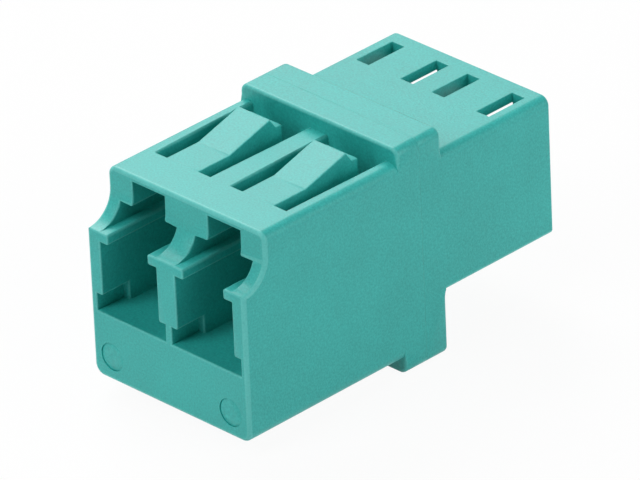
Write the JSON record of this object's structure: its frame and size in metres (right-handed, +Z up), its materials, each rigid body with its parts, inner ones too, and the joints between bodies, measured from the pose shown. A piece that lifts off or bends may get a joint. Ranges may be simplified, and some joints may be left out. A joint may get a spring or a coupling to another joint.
{
  "type": "fibre optic adapter",
  "caption": "Snap-in fibre optic adapter with side-by-side plug ports at both ends, a panel flange, springy panel latches and split sleeves that line up the ferrules.",
  "frame": {"origin": "middle of the footprint, at the level of the flange's underside", "axes": "+X to the right seen from the panel side, +Y along the plug axes from the panel side to the rear, +Z up to the latches"},
  "size_m": [0.013, 0.0256, 0.0151],
  "materials": {
    "housing_plastic": "satin moulded plastic, aqua",
    "sleeve_ceramic": "ground white ceramic"
  },
  "bodies": {
    "housing": {"front_housing": "housing_plastic", "rear_housing": "housing_plastic", "left_alignment_sleeve": "sleeve_ceramic", "right_alignment_sleeve": "sleeve_ceramic"},
    "left_latch": {"left_panel_latch": "housing_plastic"},
    "right_latch": {"right_panel_latch": "housing_plastic"}
  },
  "joints": [
    {"name": "left_latch_flex", "type": "hinge", "parent": "housing", "child": "left_latch", "pos_m": [-0.00313, -0.00809, 0.01323], "axis": [-1, 0, 0], "range_deg": [0, 9], "stiffness_Nm_per_rad": 0.05},
    {"name": "right_latch_flex", "type": "hinge", "parent": "housing", "child": "right_latch", "pos_m": [0.00313, -0.00809, 0.01323], "axis": [-1, 0, 0], "range_deg": [0, 9], "stiffness_Nm_per_rad": 0.05}
  ]
}
